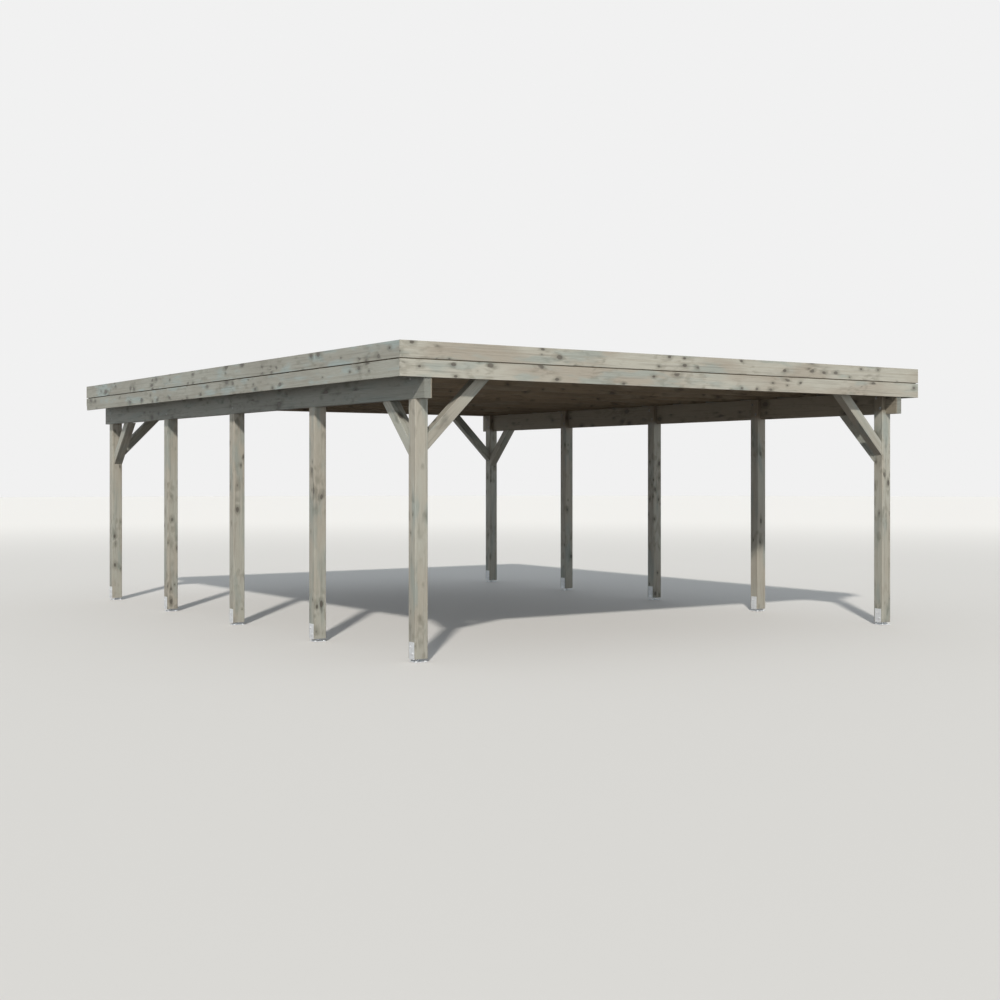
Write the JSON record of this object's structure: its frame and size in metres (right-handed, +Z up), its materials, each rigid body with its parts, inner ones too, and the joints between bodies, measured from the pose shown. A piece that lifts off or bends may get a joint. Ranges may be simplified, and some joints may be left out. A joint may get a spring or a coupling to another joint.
{
  "type": "carport",
  "caption": "Open flat-roofed timber carport: notched posts on steel shoes carry side beams, rafters and a boarded roof with a fascia; knee braces stiffen the corners.",
  "frame": {"origin": "on the ground, under the middle of the roof", "axes": "+X to the right, +Y from the drive-in front to the rear along the roof's length, +Z up"},
  "size_m": [5.847, 7.668, 2.534],
  "materials": {
    "posts": "planed, pressure-treated pine, weathered green-grey",
    "beams": "planed laminated pine, pressure-treated",
    "braces": "planed, pressure-treated pine",
    "rafters": "sawn pine, in the roof's shade",
    "deck_boards": "tongued and grooved pine boards",
    "roofing_felt": "mineral-surfaced bitumen felt",
    "fascia_boards": "planed, pressure-treated pine, weathered green-grey",
    "galvanised_steel": "hot-dip galvanised"
  },
  "bodies": {
    "root": {"post_left_1": "posts", "post_left_2": "posts", "post_left_3": "posts", "post_left_4": "posts", "post_left_5": "posts", "post_right_1": "posts", "post_right_2": "posts", "post_right_3": "posts", "post_right_4": "posts", "post_right_5": "posts", "shoe_left_1": "galvanised_steel", "shoe_left_2": "galvanised_steel", "shoe_left_3": "galvanised_steel", "shoe_left_4": "galvanised_steel", "shoe_left_5": "galvanised_steel", "shoe_right_1": "galvanised_steel", "shoe_right_2": "galvanised_steel", "shoe_right_3": "galvanised_steel", "shoe_right_4": "galvanised_steel", "shoe_right_5": "galvanised_steel", "beam_left": "beams", "beam_right": "beams", "brace_along_front_left": "braces", "brace_along_front_right": "braces", "brace_along_rear_left": "braces", "brace_along_rear_right": "braces", "brace_across_front_left": "braces", "brace_across_front_right": "braces", "brace_across_rear_left": "braces", "brace_across_rear_right": "braces", "rafters": "rafters", "roof_deck": "deck_boards", "roof_felt": "roofing_felt", "fascia_front_upper": "fascia_boards", "fascia_front_lower": "fascia_boards", "fascia_rear_upper": "fascia_boards", "fascia_rear_lower": "fascia_boards", "fascia_left_upper": "fascia_boards", "fascia_left_lower": "fascia_boards", "fascia_right_upper": "fascia_boards", "fascia_right_lower": "fascia_boards"}
  },
  "joints": []
}
